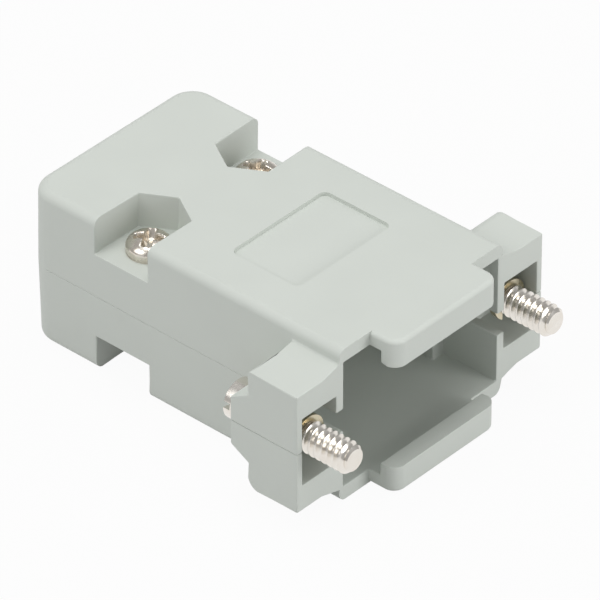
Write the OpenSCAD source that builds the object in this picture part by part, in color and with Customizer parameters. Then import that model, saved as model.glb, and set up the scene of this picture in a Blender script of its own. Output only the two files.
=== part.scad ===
// Two-piece hood for a 9-way D-sub cable connector, in millimetres.
// The flange seat is the plane y = 0, the connector faces -Y and the cable leaves along +Y.
// The parting plane of the two half shells is z = 0 and the jackscrew axes lie in it.

/* [Body] */
// Width of the body across its side walls at the parting plane
body_w = 20.4; // [20:0.1:22]
// Height of the closed body
body_h = 15.4; // [15:0.1:20]
// Length from the flange seat to the rear wall's outer face
body_l = 35; // [34.5:0.5:60]
// Thickness of the broad top and bottom walls
broad_wall = 1.4; // [1:0.1:2]
// Thickness of the side walls behind the connector bay
side_wall = 1.45; // [1:0.05:1.8]
// Thickness of the rear wall round the cable outlet
rear_wall = 1.6; // [1:0.1:3]
// Plan radius of the two rear corners
corner_r = 2.5; // [1.6:0.1:4]
// Rounding along the long and rear edges of the broad faces
edge_r = 0.8; // [0.3:0.1:1.2]
// Mould draft: lean of each outer wall between the parting plane and the edge rounding
draft = 0.12; // [0:0.01:0.25]

/* [Connector bay] */
// Clear width of the bay that takes the connector's body
bay_w = 19.1; // [18.6:0.1:19.4]
// Depth of the bay from the flange seat to its stop ribs
bay_l = 5.9; // [5.6:0.1:9]
// Clear width between the two stop ribs behind the bay
stop_gap = 16.5; // [14:0.1:17]
// Thickness of the stop ribs along the body
stop_t = 1.3; // [0.8:0.1:2]
// Width of the tongue that carries the flange hook
tongue_w = 12.8; // [8:0.1:16]
// Reach of the tongue in front of the flange seat
tongue_l = 2.85; // [2.4:0.05:4]
// Plan radius of the tongue's front corners
tongue_r = 1.2; // [0.8:0.1:1.4]
// Slot between the flange seat and the hook, for the connector's flange
flange_slot = 1.15; // [0.9:0.05:1.3]
// Depth of the hook below the broad wall
hook_h = 1.2; // [0.6:0.1:2]

/* [Ears] */
// Distance between the two jackscrew axes
screw_pitch = 24.99; // [24.6:0.01:25.4]
// Thickness of each ear's outer wall, beside its pocket
ear_wall = 0.67; // [0.5:0.01:1.5]
// Height of the closed ears
ear_h = 11.8; // [10:0.1:13]
// Length of the ears behind the flange seat
ear_l = 5.4; // [5:0.1:8]
// Rounding of the rear edge of one ear of each half
ear_r = 1.2; // [0.4:0.1:2]
// Width of the pocket in each ear
pocket_w = 4.07; // [3.8:0.01:4.2]
// Height of the pocket in each closed ear
pocket_h = 6.7; // [5:0.1:8]
// Depth of the pocket behind the flange seat
pocket_l = 4.2; // [3.6:0.1:4.6]
// Height of the rear boss where it joins the ear
boss_h = 6.9; // [5:0.1:8]
// Height of the rear boss at the jackscrew's head
boss_tip_h = 4.8; // [4:0.1:5]
// Length of the rear boss
boss_l = 1.95; // [1:0.05:3]
// Height of the opening under the inner wall of the ear on the left of each half
left_gap = 1.6; // [0.4:0.1:2.5]
// Height of the opening under the inner wall of the ear on the right of each half
right_gap = 0.6; // [0.4:0.1:2.5]
// Width of the gusset between an ear and the body's side
gusset_w = 2; // [0.5:0.1:3]
// Height of the gusset between an ear and the body's side
gusset_h = 0.5; // [0.2:0.1:0.8]
// Diameter of the hole for the jackscrew
screw_hole_d = 3.3; // [3.1:0.05:3.5]

/* [Jackscrews] */
// Diameter of the jackscrew over its thread
jack_d = 2.84; // [2.5:0.01:3]
// Reach of the jackscrew in front of the flange seat
jack_reach = 3.8; // [3:0.1:8]
// Diameter of the slotted head
jack_head_d = 3.7; // [3.6:0.1:4]
// Length of the slotted head
jack_head_l = 1.5; // [1:0.1:4]
// Width of the driver slot
slot_w = 0.6; // [0.4:0.1:0.8]
// Depth of the driver slot
slot_depth = 0.7; // [0.4:0.1:0.9]
// Distance from the flange seat to the retaining ring
ring_inset = 1.2; // [0.6:0.1:2]
// Outer diameter of the retaining ring
ring_d = 3.7; // [3.6:0.02:3.74]
// Thickness of the retaining ring
ring_t = 0.6; // [0.4:0.1:0.8]
// Diameter of the groove that holds the retaining ring
groove_d = 2.1; // [1.8:0.05:2.3]
// Diameter at the ring to which the thread runs out behind the flange seat
runout_d = 2.6; // [2.4:0.05:2.8]
// Gap between the jackscrew's head and the rear boss
head_gap = 0.05; // [0.02:0.01:0.2]
// Radial and axial play of the ring on its groove
ring_play = 0.04; // [0.02:0.01:0.08]

/* [Case screws] */
// Distance between the two case screws
case_pitch = 13.3; // [13:0.1:14]
// Distance from the rear wall's outer face to the case screws
case_inset = 10.85; // [10.6:0.05:12]
// Distance across the flats of the half-hexagon notches
notch_w = 6; // [5.4:0.1:6.2]
// Distance between the points of a left and a right notch
notch_gap = 6; // [5.6:0.1:6.6]
// Height between the floors of an upper and a lower notch
notch_floor_h = 8.5; // [8.1:0.1:9]
// Thread diameter of the case screws
case_d = 2.2; // [2:0.1:2.4]
// Length of the case screws under the head
case_l = 8; // [6.5:0.5:8]
// Diameter of the case screw's pan head
case_head_d = 4; // [3.6:0.1:4.4]
// Height of the case screw's pan head
case_head_h = 1.6; // [1.3:0.1:1.8]
// Radial clearance of the case screw in the half that carries its head
case_clear = 0.15; // [0.1:0.05:0.3]
// Radial clearance left by the thread that the screw forms in the other half
formed_clear = 0.02; // [0.01:0.01:0.05]
// Wall left round the notches, inside the hood
notch_wall = 1; // [0.9:0.05:1.1]
// Diameter of the screw bosses inside the hood
case_boss_d = 4.6; // [4:0.1:5]

/* [Cable clamp] */
// Diameter of the cable outlet
cable_d = 7.4; // [6:0.1:7.4]
// Radial clearance of the clamp's saddles round the cable outlet's bore
saddle_clear = 0.05; // [0.02:0.01:0.2]
// Thickness of the clamp's sheet metal
clamp_t = 0.8; // [0.6:0.1:1]
// Width of the clamp along the cable
clamp_l = 4.2; // [4:0.1:5]
// Gap between the clamp and the walls in front of it and behind it
clamp_clear = 0.2; // [0.1:0.05:0.4]
// Gap between the clamp's ears and the side walls
clamp_side_clear = 0.15; // [0.1:0.05:0.4]
// Gap between the two halves of the clamp
clamp_gap = 0.8; // [0.4:0.1:1.2]
// Distance between the two clamp screws
clamp_pitch = 13.1; // [13.1:0.1:13.3]
// Thread diameter of the clamp screws
clamp_screw_d = 2; // [1.6:0.1:2.2]
// Length of the clamp screws under the head
clamp_screw_l = 5; // [4.5:0.5:6]
// Diameter of the clamp screw's pan head
clamp_head_d = 4; // [3.6:0.1:4]
// Height of the clamp screw's pan head
clamp_head_h = 1.6; // [1.3:0.1:1.8]
// Distance across the flats of the clamp nuts
nut_w = 4; // [3.6:0.1:4]
// Thickness of the clamp nuts
nut_t = 1.6; // [1.2:0.1:1.8]
// Radial clearance of the clamp screws in the clamp and in the nuts
clamp_screw_clear = 0.1; // [0.02:0.01:0.15]

/* [Label recess] */
// Width of the recess across the body
label_w = 11.6; // [6:0.1:16]
// Length of the recess along the body
label_l = 7.5; // [4:0.1:9]
// Distance from the flange seat to the recess
label_inset = 8.35; // [4:0.05:10]
// Depth of the recess
label_depth = 0.35; // [0.2:0.05:0.6]
// Corner radius of the recess
label_r = 0.7; // [0.3:0.1:1.5]

/* [Locating pegs] */
// Diameter of the locating pegs
peg_d = 1.1; // [0.8:0.1:1.2]
// Length of the locating pegs
peg_l = 1; // [0.6:0.1:2]
// Clearance round the pegs and at their ends
peg_clear = 0.06; // [0.05:0.01:0.2]
// Distance between the two pegs of a joint line
peg_pitch = 17; // [15:0.1:17.4]

/* [Hidden] */
$fn = 64;
lap = 0.5;
half_h = body_h / 2;
ceiling = half_h - broad_wall;
inner_w = body_w - 2 * side_wall;
seat_z = notch_floor_h / 2;
case_y = body_l - case_inset;
notch_point = notch_gap / 2;
notch_slope = notch_w / 2 * tan(30);
notch_front = case_y - notch_w / 2;
notch_rear = case_y + notch_w / 2;
clamp_y1 = body_l - rear_wall;
clamp_y0 = clamp_y1 - clamp_l - 2 * clamp_clear;
clamp_y = (clamp_y0 + clamp_y1) / 2;
saddle_r = cable_d / 2 + saddle_clear;
jack_x = screw_pitch / 2;
ear_span = screw_pitch + pocket_w + 2 * ear_wall;
head_y = ear_l + boss_l + head_gap;
clamp_top = clamp_gap / 2 + clamp_t;
clamp_span = inner_w - 2 * clamp_side_clear;
peg_y = (notch_rear + clamp_y0) / 2;

// Section of a wall from a centre line out to w, height h, with a leaning side and a rounded top edge.
module edge_section(w, h, r, lean) {
    top_w = w - lean;
    polygon([[0, 0], [w, 0], [top_w, h - r], [top_w - r, h - r], [top_w - r, h], [0, h]]);
    translate([top_w - r, h - r]) circle(r);
}

// Block from y = 0 to y = l with rounded far corners and a rounded top edge along its sides and far end.
module capped_block(w, l, h, plan_r, r, lean) {
    translate([0, l - plan_r, 0]) rotate([90, 0, 0]) linear_extrude(l - plan_r) {
        edge_section(w / 2, h, r, lean);
        mirror([1, 0]) edge_section(w / 2, h, r, lean);
    }
    translate([plan_r - w / 2, 0, 0]) rotate([90, 0, 90]) linear_extrude(w - 2 * plan_r)
        edge_section(l, h, r, lean);
    for (side = [-1, 1])
        translate([side * (w / 2 - plan_r), l - plan_r, 0]) rotate_extrude()
            edge_section(plan_r, h, r, lean);
}

// Outline of the tongue seen from above, from the flange seat forwards.
module tongue_plan() {
    square_w = tongue_w - 2 * tongue_r;
    translate([-square_w / 2, -tongue_l]) square([square_w, tongue_l]);
    translate([-tongue_w / 2, tongue_r - tongue_l]) square([tongue_w, tongue_l - tongue_r]);
    for (side = [-1, 1])
        translate([side * square_w / 2, tongue_r - tongue_l]) circle(tongue_r);
}

// Tongue in front of the broad wall, with the hook that holds the connector's flange.
module tongue() {
    translate([0, lap, ceiling]) mirror([0, 1, 0])
        capped_block(tongue_w, tongue_l + lap, broad_wall, tongue_r, edge_r / 2, 0);
    intersection() {
        translate([0, 0, ceiling - hook_h]) linear_extrude(hook_h + lap) tongue_plan();
        translate([-tongue_w, -tongue_l - lap, 0])
            cube([2 * tongue_w, tongue_l + lap - flange_slot, half_h]);
    }
}

// Side view of one half ear with its rear boss; r rounds the rear edge.
module ear_section(r) {
    h = ear_h / 2;
    square([ear_l, h - r]);
    square([ear_l - r, h]);
    translate([ear_l - r, h - r]) circle(r);
    polygon([[ear_l - lap, 0], [ear_l + boss_l, 0], [ear_l + boss_l, boss_tip_h / 2],
        [ear_l, boss_h / 2], [ear_l - lap, boss_h / 2]]);
}

// Half ear on the +X side, with its gusset to the body.
module half_ear(r) {
    root_x = body_w / 2 - lap;
    intersection() {
        translate([root_x, 0, 0]) rotate([90, 0, 90]) linear_extrude(ear_span / 2 - root_x)
            ear_section(r);
        translate([0, -lap, -lap]) cube([ear_span, body_l, body_h]);
    }
    translate([0, ear_l - r, 0]) rotate([90, 0, 0]) linear_extrude(ear_l - r)
        polygon([[root_x, ear_h / 2 - lap], [body_w / 2 + gusset_w, ear_h / 2 - lap],
            [body_w / 2 + gusset_w, ear_h / 2], [root_x + lap, ear_h / 2 + gusset_h],
            [root_x, ear_h / 2 + gusset_h]]);
}

// Room inside one half ear on the +X side: pocket, jackscrew hole and the opening to the bay.
module ear_room(gap) {
    pocket_x = jack_x - pocket_w / 2;
    translate([pocket_x, -lap, -lap]) cube([pocket_w, pocket_l + lap, pocket_h / 2 + lap]);
    translate([bay_w / 2 - lap, -lap, -lap]) cube([pocket_x - bay_w / 2 + 2 * lap, pocket_l + lap, gap + lap]);
    translate([jack_x, ear_l + boss_l + lap, 0]) rotate([90, 0, 0])
        cylinder(d = screw_hole_d, h = ear_l + boss_l);
}

// Half-hexagon notch over the case screw on the +X side.
module notch() {
    translate([0, case_y, seat_z]) linear_extrude(body_h)
        polygon([[notch_point, 0], [notch_point + notch_slope, notch_w / 2], [body_w, notch_w / 2],
            [body_w, -notch_w / 2], [notch_point + notch_slope, -notch_w / 2]]);
}

// Rounded rectangle of the label recess.
module label_plan() {
    translate([label_r - label_w / 2, 0]) square([label_w - 2 * label_r, label_l]);
    translate([-label_w / 2, label_r]) square([label_w, label_l - 2 * label_r]);
    for (side = [-1, 1], y = [label_r, label_l - label_r])
        translate([side * (label_w / 2 - label_r), y]) circle(label_r);
}

// Everything hollow inside one half: bay, wiring space, screw zone, clamp chamber and cable way.
module room() {
    channel_w = notch_gap - 2 * notch_wall;
    translate([-bay_w / 2, -lap, -lap]) cube([bay_w, bay_l + lap, ceiling + lap]);
    translate([-stop_gap / 2, 0, -lap]) cube([stop_gap, bay_l + stop_t + lap, ceiling + lap]);
    translate([-inner_w / 2, bay_l + stop_t, -lap])
        cube([inner_w, notch_front - notch_wall - bay_l - stop_t, ceiling + lap]);
    translate([-inner_w / 2, notch_front - notch_wall - lap, -lap])
        cube([inner_w, notch_w + notch_wall + lap, seat_z - notch_wall + lap]);
    translate([-channel_w / 2, bay_l, -lap]) cube([channel_w, clamp_y0 - bay_l + lap, ceiling + lap]);
    translate([-inner_w / 2, clamp_y0, -lap]) cube([inner_w, clamp_y1 - clamp_y0, ceiling + lap]);
    translate([0, body_l + lap, 0]) rotate([90, 0, 0]) cylinder(d = cable_d, h = body_l - bay_l);
}

// Bosses round the case screws and their webs to the side walls, inside one half.
module screw_bosses() {
    for (side = [-1, 1]) {
        translate([side * case_pitch / 2, case_y, 0]) cylinder(d = case_boss_d, h = seat_z - notch_wall + lap);
        for (y = [case_y - case_boss_d / 2 + notch_wall, case_y + case_boss_d / 2 - notch_wall])
            translate([side * (case_pitch / 2 + inner_w / 2) / 2, y, (seat_z - notch_wall + lap) / 2])
                cube([inner_w / 2 - case_pitch / 2 + lap, notch_wall, seat_z - notch_wall + lap], center = true);
    }
}

// One half shell, lying above the parting plane; screw_hole is the diameter of its case screw holes.
module half_shell(screw_hole) {
    difference() {
        union() {
            difference() {
                union() {
                    capped_block(body_w, body_l, half_h, corner_r, edge_r, draft);
                    tongue();
                    half_ear(ear_r);
                    mirror([1, 0, 0]) half_ear(ear_r / 4);
                }
                room();
                ear_room(right_gap);
                mirror([1, 0, 0]) ear_room(left_gap);
                notch();
                mirror([1, 0, 0]) notch();
                translate([0, label_inset, half_h - label_depth]) linear_extrude(body_h) label_plan();
            }
            screw_bosses();
            translate([peg_pitch / 2, peg_y, -peg_l]) cylinder(d = peg_d, h = peg_l + lap);
        }
        for (side = [-1, 1])
            translate([side * case_pitch / 2, case_y, -lap]) cylinder(d = screw_hole, h = body_h);
        translate([-peg_pitch / 2, peg_y, -lap]) cylinder(d = peg_d + 2 * peg_clear, h = peg_l + peg_clear + lap);
    }
}

// Upper half shell, which carries the heads of the case screws.
module upper_shell() {
    color([0.76, 0.78, 0.76]) half_shell(case_d + 2 * case_clear);
}

// Lower half shell: the same moulding turned over, with the holes that the screws thread.
module lower_shell() {
    color([0.74, 0.76, 0.74]) rotate([0, 180, 0]) half_shell(case_d + 2 * formed_clear);
}

// Pan-head screw with a cross recess; the head's seat is z = 0 and the shank points down.
module pan_screw(d, l, head_d, head_h) {
    rim = head_h * 0.45;
    dome_r = (pow(head_d / 2, 2) + pow(head_h - rim, 2)) / (2 * (head_h - rim));
    arm = head_d * 0.52;
    difference() {
        intersection() {
            cylinder(d = head_d, h = head_h);
            translate([0, 0, head_h - dome_r]) sphere(dome_r);
        }
        for (turn = [0, 90])
            rotate(turn) translate([0, 0, head_h]) cube([arm, d / 4, head_h], center = true);
    }
    translate([0, 0, -l]) cylinder(d = d, h = l + head_h / 4);
}

module case_screw(side, turn) {
    color([0.85, 0.84, 0.8]) translate([side * case_pitch / 2, case_y, seat_z]) rotate(turn)
        pan_screw(case_d, case_l, case_head_d, case_head_h);
}

// Case screw on the left of the upper shell.
module case_screw_left() {
    case_screw(-1, 30);
}

// Case screw on the right of the upper shell.
module case_screw_right() {
    case_screw(1, 10);
}

// Slotted jackscrew: thread, run-out, groove for the retaining ring, shank and head.
module jackscrew(side, turn) {
    tip_l = jack_d * 0.1;
    groove_y = ring_inset - ring_play;
    shank_y = groove_y + ring_t + 2 * ring_play;
    color([0.82, 0.81, 0.78]) translate([side * jack_x, 0, 0]) rotate([-90, 0, 0]) difference() {
        union() {
            translate([0, 0, -jack_reach]) cylinder(d1 = jack_d * 0.8, d2 = jack_d, h = tip_l);
            translate([0, 0, tip_l - jack_reach]) cylinder(d = jack_d, h = jack_reach - tip_l);
            cylinder(d1 = jack_d, d2 = runout_d, h = groove_y);
            translate([0, 0, groove_y - lap]) cylinder(d = groove_d, h = shank_y - groove_y + 2 * lap);
            translate([0, 0, shank_y]) cylinder(d = jack_d, h = head_y - shank_y);
            translate([0, 0, head_y]) cylinder(d = jack_head_d, h = jack_head_l);
        }
        rotate(turn) translate([-jack_head_d, -slot_w / 2, head_y + jack_head_l - slot_depth])
            cube([2 * jack_head_d, slot_w, jack_head_l]);
    }
}

// Jackscrew in the left ear.
module jackscrew_left() {
    jackscrew(-1, 10);
}

// Jackscrew in the right ear.
module jackscrew_right() {
    jackscrew(1, 35);
}

// Open ring that keeps a jackscrew in its ear.
module retaining_ring(side) {
    bore_r = groove_d / 2 + ring_play;
    color([0.75, 0.72, 0.62]) translate([side * jack_x, ring_inset + ring_t, 0]) rotate([90, 0, 0])
        difference() {
            cylinder(d = ring_d, h = ring_t);
            translate([0, 0, -lap]) cylinder(r = bore_r, h = ring_t + 2 * lap);
            translate([-bore_r * 0.8, -ring_d, -lap]) cube([bore_r * 1.6, ring_d, ring_t + 2 * lap]);
        }
}

// Retaining ring of the left jackscrew.
module retaining_ring_left() {
    retaining_ring(-1);
}

// Retaining ring of the right jackscrew.
module retaining_ring_right() {
    retaining_ring(1);
}

// Upper half of the cable clamp: a saddle with two flat ears.
module clamp_half() {
    difference() {
        translate([0, clamp_y + clamp_l / 2, 0]) rotate([90, 0, 0]) linear_extrude(clamp_l) difference() {
            union() {
                intersection() {
                    circle(saddle_r + clamp_t);
                    translate([-clamp_span / 2, clamp_gap / 2]) square([clamp_span, body_h]);
                }
                translate([-clamp_span / 2, clamp_gap / 2]) square([clamp_span, clamp_t]);
            }
            circle(saddle_r);
        }
        for (side = [-1, 1])
            translate([side * clamp_pitch / 2, clamp_y, 0])
                cylinder(d = clamp_screw_d + 2 * clamp_screw_clear, h = half_h);
    }
}

// Saddle that lies above the cable.
module cable_clamp_upper() {
    color([0.8, 0.8, 0.78]) clamp_half();
}

// Saddle that lies below the cable.
module cable_clamp_lower() {
    color([0.78, 0.78, 0.76]) rotate([0, 180, 0]) clamp_half();
}

module clamp_screw(side) {
    color([0.85, 0.84, 0.8]) translate([side * clamp_pitch / 2, clamp_y, clamp_top])
        pan_screw(clamp_screw_d, clamp_screw_l, clamp_head_d, clamp_head_h);
}

// Clamp screw on the left.
module clamp_screw_left() {
    clamp_screw(-1);
}

// Clamp screw on the right.
module clamp_screw_right() {
    clamp_screw(1);
}

// Hexagon nut under the lower saddle, two flats facing the side walls.
module clamp_nut(side) {
    color([0.83, 0.8, 0.7]) translate([side * clamp_pitch / 2, clamp_y, -clamp_top - nut_t]) difference() {
        rotate(30) cylinder(d = nut_w / cos(30), h = nut_t, $fn = 6);
        translate([0, 0, -lap]) cylinder(d = clamp_screw_d + 2 * formed_clear, h = nut_t + 2 * lap);
    }
}

// Nut on the left clamp screw.
module clamp_nut_left() {
    clamp_nut(-1);
}

// Nut on the right clamp screw.
module clamp_nut_right() {
    clamp_nut(1);
}

upper_shell();
lower_shell();
case_screw_left();
case_screw_right();
jackscrew_left();
jackscrew_right();
retaining_ring_left();
retaining_ring_right();
cable_clamp_upper();
cable_clamp_lower();
clamp_screw_left();
clamp_screw_right();
clamp_nut_left();
clamp_nut_right();
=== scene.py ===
import math

import bmesh
import bpy
from mathutils import Matrix, Quaternion, Vector


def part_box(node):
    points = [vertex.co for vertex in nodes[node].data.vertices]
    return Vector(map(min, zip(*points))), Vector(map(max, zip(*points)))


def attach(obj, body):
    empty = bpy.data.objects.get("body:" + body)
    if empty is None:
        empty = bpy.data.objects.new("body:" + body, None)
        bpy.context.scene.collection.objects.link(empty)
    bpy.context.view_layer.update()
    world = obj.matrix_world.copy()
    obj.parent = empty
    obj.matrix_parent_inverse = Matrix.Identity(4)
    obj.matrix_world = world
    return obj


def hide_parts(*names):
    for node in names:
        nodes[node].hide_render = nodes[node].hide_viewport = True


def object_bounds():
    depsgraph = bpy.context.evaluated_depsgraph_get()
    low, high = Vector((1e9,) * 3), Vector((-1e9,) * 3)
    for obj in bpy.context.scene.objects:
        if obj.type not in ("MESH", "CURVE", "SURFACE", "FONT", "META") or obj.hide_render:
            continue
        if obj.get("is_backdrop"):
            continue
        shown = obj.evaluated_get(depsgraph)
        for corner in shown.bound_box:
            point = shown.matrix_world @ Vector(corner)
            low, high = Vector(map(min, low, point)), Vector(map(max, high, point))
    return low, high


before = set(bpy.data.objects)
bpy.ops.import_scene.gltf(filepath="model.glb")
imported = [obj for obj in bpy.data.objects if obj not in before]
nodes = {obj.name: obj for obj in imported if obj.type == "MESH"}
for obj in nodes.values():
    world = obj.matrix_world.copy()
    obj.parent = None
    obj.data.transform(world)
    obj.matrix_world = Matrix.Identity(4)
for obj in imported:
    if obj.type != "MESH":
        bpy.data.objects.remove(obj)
cad_low, cad_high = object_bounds()


# ---- Camera ----------------------------------------------------------------
# Three-quarter view from above the open end, past the left ear, with a long lens.

CAMERA_AZIMUTH = math.radians(-48.024)
CAMERA_ELEVATION = math.radians(36.401)
CAMERA_ROLL = math.radians(-0.041)
CAMERA_OFFSET = Vector((-0.009938, 0.005932, 0.634962))
CAMERA_LENS = 464.83

camera = bpy.data.objects.new("camera", bpy.data.cameras.new("camera"))
bpy.context.scene.collection.objects.link(camera)
camera.data.sensor_width = 36
camera.data.lens = CAMERA_LENS
camera.data.clip_start = 0.05
camera.data.clip_end = 10
back = Vector((
    math.sin(CAMERA_AZIMUTH) * math.cos(CAMERA_ELEVATION),
    -math.cos(CAMERA_AZIMUTH) * math.cos(CAMERA_ELEVATION),
    math.sin(CAMERA_ELEVATION),
))
camera.rotation_mode = "QUATERNION"
camera.rotation_quaternion = back.to_track_quat("Z", "Y") @ Quaternion((0, 0, 1), CAMERA_ROLL)
camera.location = camera.rotation_quaternion @ CAMERA_OFFSET
bpy.context.scene.camera = camera


# ---- Studio ----------------------------------------------------------------
# White sweep under the hood, plain light all round, and soft lamps above, in front and on the left.
# The sweep shows white and keeps a faint shadow; metal reflects it as white too.

FLOOR_Z = cad_low.z - 0.00002
FLOOR_SIZE = 2.5
FLOOR_COLOUR = (0.6, 0.6, 0.6, 1)
FLOOR_WHITE_SHARE = 0.95
LIGHT_ALL_ROUND = 0.42
LAMP_AIM = Vector((0, 0.015, 0))

bm = bmesh.new()
bmesh.ops.create_grid(bm, x_segments=1, y_segments=1, size=FLOOR_SIZE)
bmesh.ops.translate(bm, verts=bm.verts, vec=(0, 0, FLOOR_Z))
floor = bpy.data.objects.new("floor", bpy.data.meshes.new("floor"))
bm.to_mesh(floor.data)
bm.free()
bpy.context.scene.collection.objects.link(floor)
floor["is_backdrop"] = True

floor_mat = bpy.data.materials.new("studio_sweep")
floor_mat.use_nodes = True
tree = floor_mat.node_tree
tree.nodes.clear()
sweep = tree.nodes.new("ShaderNodeBsdfDiffuse")
sweep.inputs["Color"].default_value = FLOOR_COLOUR
white = tree.nodes.new("ShaderNodeEmission")
white.inputs["Color"].default_value = (1, 1, 1, 1)
path = tree.nodes.new("ShaderNodeLightPath")
seen = tree.nodes.new("ShaderNodeMath")
seen.operation = "MAXIMUM"
share = tree.nodes.new("ShaderNodeMath")
share.operation = "MULTIPLY"
share.inputs[1].default_value = FLOOR_WHITE_SHARE
mix = tree.nodes.new("ShaderNodeMixShader")
out = tree.nodes.new("ShaderNodeOutputMaterial")
tree.links.new(path.outputs["Is Camera Ray"], seen.inputs[0])
tree.links.new(path.outputs["Is Glossy Ray"], seen.inputs[1])
tree.links.new(seen.outputs[0], share.inputs[0])
tree.links.new(share.outputs[0], mix.inputs[0])
tree.links.new(sweep.outputs[0], mix.inputs[1])
tree.links.new(white.outputs[0], mix.inputs[2])
tree.links.new(mix.outputs[0], out.inputs["Surface"])
floor.data.materials.append(floor_mat)

world = bpy.data.worlds.new("studio")
world.use_nodes = True
sky = world.node_tree.nodes["Background"]
sky.inputs["Color"].default_value = (1, 1, 1, 1)
sky.inputs["Strength"].default_value = LIGHT_ALL_ROUND
bpy.context.scene.world = world


def soft_lamp(name, place, width, power):
    """Square area lamp at a place, turned towards the middle of the hood."""
    lamp = bpy.data.objects.new(name, bpy.data.lights.new(name, "AREA"))
    bpy.context.scene.collection.objects.link(lamp)
    lamp.data.shape = "SQUARE"
    lamp.data.size = width
    lamp.data.energy = power
    lamp.location = place
    aim = LAMP_AIM - Vector(place)
    lamp.rotation_mode = "QUATERNION"
    lamp.rotation_quaternion = aim.to_track_quat("-Z", "Y")


soft_lamp("lamp_above", (0.03, 0.03, 0.50), 0.30, 0.95)
soft_lamp("lamp_front", (0.15, -0.44, 0.11), 0.25, 0.85)
soft_lamp("lamp_left", (-0.36, 0.12, 0.33), 0.30, 0.72)


# ---- Half shells -----------------------------------------------------------
# Two halves moulded in light grey plastic with a fine matte texture, and closed with two screws.
# Their edges are softened as a moulding's are, which also leaves the fine dark line where they meet.

SHELL_COLOUR = (0.66, 0.695, 0.65)
SHELL_SHADE = (0.615, 0.648, 0.605)
EDGE_SOFTNESS = 0.00015
SHORTEST_SOFT_EDGE = 0.00035
FLAT_WITHIN = math.radians(0.4)
SHARP_FROM = math.radians(30)
JOINED_WITHIN = 0.000001


def matte_plastic(name, light, shade):
    """Moulded plastic: faint clouding of the colour, uneven gloss and a fine eroded texture."""
    material = bpy.data.materials.new(name)
    material.use_nodes = True
    tree = material.node_tree
    shader = tree.nodes["Principled BSDF"]
    coords = tree.nodes.new("ShaderNodeTexCoord")
    cloud = tree.nodes.new("ShaderNodeTexNoise")
    cloud.inputs["Scale"].default_value = 140
    cloud.inputs["Detail"].default_value = 5
    tint = tree.nodes.new("ShaderNodeMix")
    tint.data_type = "RGBA"
    tint.inputs["A"].default_value = (*shade, 1)
    tint.inputs["B"].default_value = (*light, 1)
    gloss = tree.nodes.new("ShaderNodeMapRange")
    gloss.inputs["To Min"].default_value = 0.44
    gloss.inputs["To Max"].default_value = 0.58
    grain = tree.nodes.new("ShaderNodeTexNoise")
    grain.inputs["Scale"].default_value = 7000
    grain.inputs["Detail"].default_value = 3
    bump = tree.nodes.new("ShaderNodeBump")
    bump.inputs["Strength"].default_value = 0.12
    bump.inputs["Distance"].default_value = 0.00002
    for texture in (cloud, grain):
        tree.links.new(coords.outputs["Object"], texture.inputs["Vector"])
    tree.links.new(cloud.outputs["Fac"], tint.inputs["Factor"])
    tree.links.new(tint.outputs["Result"], shader.inputs["Base Color"])
    tree.links.new(cloud.outputs["Fac"], gloss.inputs["Value"])
    tree.links.new(gloss.outputs["Result"], shader.inputs["Roughness"])
    tree.links.new(grain.outputs["Fac"], bump.inputs["Height"])
    tree.links.new(bump.outputs["Normal"], shader.inputs["Normal"])
    shader.inputs["Specular IOR Level"].default_value = 0.35
    return material


def copy_of(node):
    """Mesh of a solid with its loose triangles joined."""
    bm = bmesh.new()
    bm.from_mesh(nodes[node].data)
    bmesh.ops.remove_doubles(bm, verts=bm.verts, dist=JOINED_WITHIN)
    return bm


def finished(bm, name, body, material, replaced):
    """Turns a mesh into a piece that rides on a body and stands for a solid."""
    mesh = bpy.data.meshes.new(name)
    bm.to_mesh(mesh)
    bm.free()
    piece = bpy.data.objects.new(name, mesh)
    bpy.context.scene.collection.objects.link(piece)
    mesh.materials.append(material)
    even = piece.modifiers.new("even_normals", "WEIGHTED_NORMAL")
    even.keep_sharp = True
    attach(piece, body)
    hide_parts(replaced)
    return piece


def mark_edges(bm, limit):
    """Smooth shading, with a crease wherever two faces meet more sharply than the limit."""
    for face in bm.faces:
        face.smooth = True
    for edge in bm.edges:
        edge.smooth = len(edge.link_faces) == 2 and edge.calc_face_angle(0) < math.radians(limit)


shell_plastic = matte_plastic("shell_plastic", SHELL_COLOUR, SHELL_SHADE)
for node, name in (("upper_shell", "upper_moulding"), ("lower_shell", "lower_moulding")):
    bm = copy_of(node)
    bmesh.ops.dissolve_limit(bm, angle_limit=FLAT_WITHIN, verts=bm.verts, edges=bm.edges)
    sharp = [e for e in bm.edges if len(e.link_faces) == 2
             and e.calc_face_angle(0) > SHARP_FROM and e.calc_length() > SHORTEST_SOFT_EDGE]
    bmesh.ops.bevel(bm, geom=sharp, offset=EDGE_SOFTNESS, offset_type="OFFSET", segments=2,
                    profile=0.5, affect="EDGES", material=-1, clamp_overlap=False)
    mark_edges(bm, 24)
    finished(bm, name, "hood", shell_plastic, node)


# ---- Case screws -----------------------------------------------------------
# Nickel-plated steel screws with pan heads and worn cross recesses, in the open notches.
# They thread themselves into the lower half and hold the two halves together.

HEAD_RADIUS = 0.0020
HEAD_RIM = 0.0006
HEAD_TOP = 0.0016
RECESS_REACH = 0.00135
RECESS_HALF_WIDTH = 0.00036
RECESS_DEPTH = 0.00095
RECESS_SIDE_SLOPE = 0.00016
RECESS_END_SLOPE = 0.00045
RIM_EDGE = 0.0001
DOME_STEPS = 32
HEAD_STEPS = 96


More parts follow.
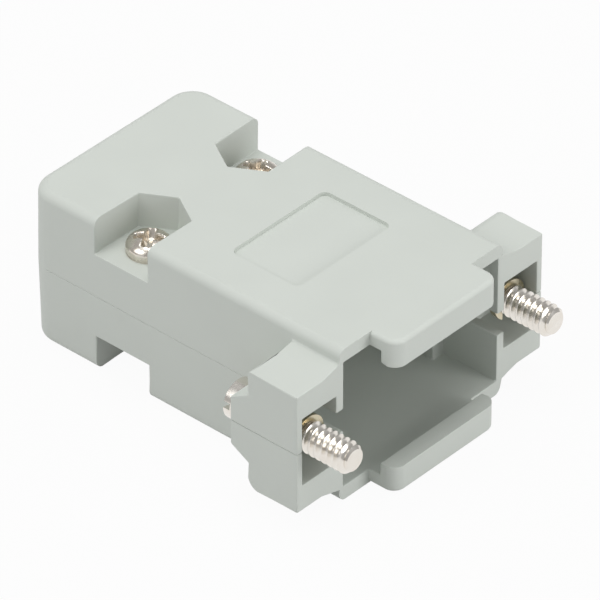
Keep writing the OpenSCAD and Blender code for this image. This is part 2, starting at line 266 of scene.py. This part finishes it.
def bright_metal(name, light, shade, dull, shine):
    """Plated steel: clouded plating, uneven polish and faint handling marks."""
    material = bpy.data.materials.new(name)
    material.use_nodes = True
    tree = material.node_tree
    shader = tree.nodes["Principled BSDF"]
    shader.inputs["Metallic"].default_value = 1
    coords = tree.nodes.new("ShaderNodeTexCoord")
    cloud = tree.nodes.new("ShaderNodeTexNoise")
    cloud.inputs["Scale"].default_value = 900
    cloud.inputs["Detail"].default_value = 6
    tint = tree.nodes.new("ShaderNodeMix")
    tint.data_type = "RGBA"
    tint.inputs["A"].default_value = (*shade, 1)
    tint.inputs["B"].default_value = (*light, 1)
    polish = tree.nodes.new("ShaderNodeMapRange")
    polish.inputs["From Min"].default_value = 0.3
    polish.inputs["From Max"].default_value = 0.7
    polish.inputs["To Min"].default_value = shine
    polish.inputs["To Max"].default_value = dull
    marks = tree.nodes.new("ShaderNodeTexNoise")
    marks.inputs["Scale"].default_value = 3500
    marks.inputs["Detail"].default_value = 4
    bump = tree.nodes.new("ShaderNodeBump")
    bump.inputs["Strength"].default_value = 0.08
    bump.inputs["Distance"].default_value = 0.00002
    for texture in (cloud, marks):
        tree.links.new(coords.outputs["Object"], texture.inputs["Vector"])
    tree.links.new(cloud.outputs["Fac"], tint.inputs["Factor"])
    tree.links.new(tint.outputs["Result"], shader.inputs["Base Color"])
    tree.links.new(cloud.outputs["Fac"], polish.inputs["Value"])
    tree.links.new(polish.outputs["Result"], shader.inputs["Roughness"])
    tree.links.new(marks.outputs["Fac"], bump.inputs["Height"])
    tree.links.new(bump.outputs["Normal"], shader.inputs["Normal"])
    return material


def cross_recess(x, y):
    """Depth of the cross recess under a point of the head, with worn, sloping sides."""
    deepest = 0
    for along, across in ((x, y), (y, x)):
        side = (RECESS_HALF_WIDTH - abs(across)) / RECESS_SIDE_SLOPE
        end = (RECESS_REACH - abs(along)) / RECESS_END_SLOPE
        wall = max(0, min(1, side + 0.5)) * max(0, min(1, end))
        deepest = max(deepest, wall)
    return RECESS_DEPTH * deepest


plated_screw = bright_metal("plated_screw", (0.86, 0.83, 0.77), (0.66, 0.58, 0.49), 0.34, 0.16)
for node, name, turn in (("case_screw_left", "case_screw_left_cross", 30),
                         ("case_screw_right", "case_screw_right_cross", 10)):
    low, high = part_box(node)
    seat = high.z - HEAD_TOP
    middle = Vector(((low.x + high.x) / 2, (low.y + high.y) / 2, seat))
    shank = copy_of(node)
    bmesh.ops.bisect_plane(shank, geom=[*shank.verts, *shank.edges, *shank.faces],
                           plane_co=(0, 0, seat + RIM_EDGE), plane_no=(0, 0, 1), clear_outer=True)
    bmesh.ops.holes_fill(shank, edges=shank.edges, sides=0)
    head = bmesh.new()
    outline = [(0, 0), (HEAD_RADIUS - RIM_EDGE, 0), (HEAD_RADIUS, RIM_EDGE), (HEAD_RADIUS, HEAD_RIM)]
    for step in range(1, DOME_STEPS + 1):
        angle = math.radians(90 * step / DOME_STEPS)
        outline.append((HEAD_RADIUS * math.cos(angle),
                        HEAD_RIM + (HEAD_TOP - HEAD_RIM) * math.sin(angle)))
    rim = [head.verts.new((r, 0, z)) for r, z in outline]
    lines = [head.edges.new(pair) for pair in zip(rim, rim[1:])]
    bmesh.ops.spin(head, geom=[*rim, *lines], cent=(0, 0, 0), axis=(0, 0, 1),
                   angle=math.tau, steps=HEAD_STEPS, use_merge=True)
    bmesh.ops.remove_doubles(head, verts=head.verts, dist=JOINED_WITHIN)
    bmesh.ops.recalc_face_normals(head, faces=head.faces)
    for vert in head.verts:
        if vert.co.z > HEAD_RIM + RIM_EDGE:
            vert.co.z -= cross_recess(vert.co.x, vert.co.y)
    place = Matrix.Translation(middle) @ Matrix.Rotation(math.radians(turn), 4, "Z")
    bmesh.ops.transform(head, verts=head.verts, matrix=place)
    scratch = bpy.data.meshes.new("head")
    head.to_mesh(scratch)
    head.free()
    shank.from_mesh(scratch)
    bpy.data.meshes.remove(scratch)
    mark_edges(shank, 50)
    finished(shank, name, "hood", plated_screw, node)


# ---- Jackscrews ------------------------------------------------------------
# Turned and nickel-plated steel, with a rolled 4-40 thread in front and a slotted head behind.
# Each is held in its ear by a ring in its groove, and turns and slides there.

PITCH = 0.000635
CREST = 0.00142
ROOT = 0.00099
THREAD_END = 0.0011
TIP_RADIUS = 0.00102
TIP_SLOPE = 0.9
STEPS_PER_TURN = 40
# One tooth of the thread from root to root: distance on a scale of TOOTH_LENGTH, and radius.
TOOTH_LENGTH = 0.705
TOOTH = [
    (0, ROOT), (0.05, 0.00101), (0.24, 0.00128), (0.31, 0.00139), (0.34, CREST),
    (0.365, CREST), (0.395, 0.00139), (0.465, 0.00128), (0.655, 0.00101), (0.705, ROOT),
]

nickel = bright_metal("nickel_jackscrew", (0.90, 0.88, 0.84), (0.74, 0.68, 0.60), 0.30, 0.14)
for node, body, name in (("jackscrew_left", "left_screw", "jackscrew_left_threaded"),
                         ("jackscrew_right", "right_screw", "jackscrew_right_threaded")):
    low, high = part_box(node)
    axis_x = (low.x + high.x) / 2
    tip = low.y
    turns = math.ceil((THREAD_END - tip) / PITCH) + 2
    thread = bmesh.new()
    flank = [thread.verts.new((axis_x + r, tip - PITCH + y / TOOTH_LENGTH * PITCH, 0))
             for y, r in TOOTH]
    lines = [thread.edges.new(pair) for pair in zip(flank, flank[1:])]
    bmesh.ops.spin(thread, geom=[*flank, *lines], cent=(axis_x, 0, 0), axis=(0, 1, 0),
                   dvec=(0, PITCH / STEPS_PER_TURN, 0), angle=math.tau * turns,
                   steps=STEPS_PER_TURN * turns)
    bmesh.ops.remove_doubles(thread, verts=thread.verts, dist=2 * JOINED_WITHIN)
    for end, side in ((tip, -1), (THREAD_END, 1)):
        bmesh.ops.bisect_plane(thread, geom=[*thread.verts, *thread.edges, *thread.faces],
                               plane_co=(0, end, 0), plane_no=(0, side, 0), clear_outer=True)
    bmesh.ops.holes_fill(thread, edges=thread.edges, sides=0)
    for vert in thread.verts:
        reach = math.hypot(vert.co.x - axis_x, vert.co.z)
        limit = TIP_RADIUS + TIP_SLOPE * (vert.co.y - tip)
        if reach > limit:
            vert.co.x = axis_x + (vert.co.x - axis_x) * limit / reach
            vert.co.z *= limit / reach
    bmesh.ops.recalc_face_normals(thread, faces=thread.faces)
    rear = copy_of(node)
    bmesh.ops.bisect_plane(rear, geom=[*rear.verts, *rear.edges, *rear.faces],
                           plane_co=(0, THREAD_END, 0), plane_no=(0, -1, 0), clear_outer=True)
    bmesh.ops.holes_fill(rear, edges=rear.edges, sides=0)
    scratch = bpy.data.meshes.new("thread")
    thread.to_mesh(scratch)
    thread.free()
    rear.from_mesh(scratch)
    bpy.data.meshes.remove(scratch)
    mark_edges(rear, 42)
    finished(rear, name, body, nickel, node)


# ---- Retaining rings -------------------------------------------------------
# Open rings stamped from thin spring steel, pressed into the jackscrews' grooves.

spring_steel = bright_metal("spring_ring", (0.78, 0.72, 0.56), (0.60, 0.52, 0.36), 0.40, 0.22)
for node in ("retaining_ring_left", "retaining_ring_right"):
    nodes[node].data.materials.clear()
    nodes[node].data.materials.append(spring_steel)


# ---- Cable clamp -----------------------------------------------------------
# Two saddles stamped from plated sheet steel, closed on the cable with two screws and nuts.

clamp_steel = bright_metal("clamp_steel", (0.76, 0.77, 0.76), (0.60, 0.61, 0.60), 0.46, 0.28)
for node in ("cable_clamp_upper", "cable_clamp_lower"):
    nodes[node].data.materials.clear()
    nodes[node].data.materials.append(clamp_steel)
for node in ("clamp_screw_left", "clamp_screw_right", "clamp_nut_left", "clamp_nut_right"):
    nodes[node].data.materials.clear()
    nodes[node].data.materials.append(plated_screw)


# ---- Finish ----------------------------------------------------------------
# Plain view, and the box of the dressed model.

bpy.context.scene.view_settings.view_transform = "Standard"
low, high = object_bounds()
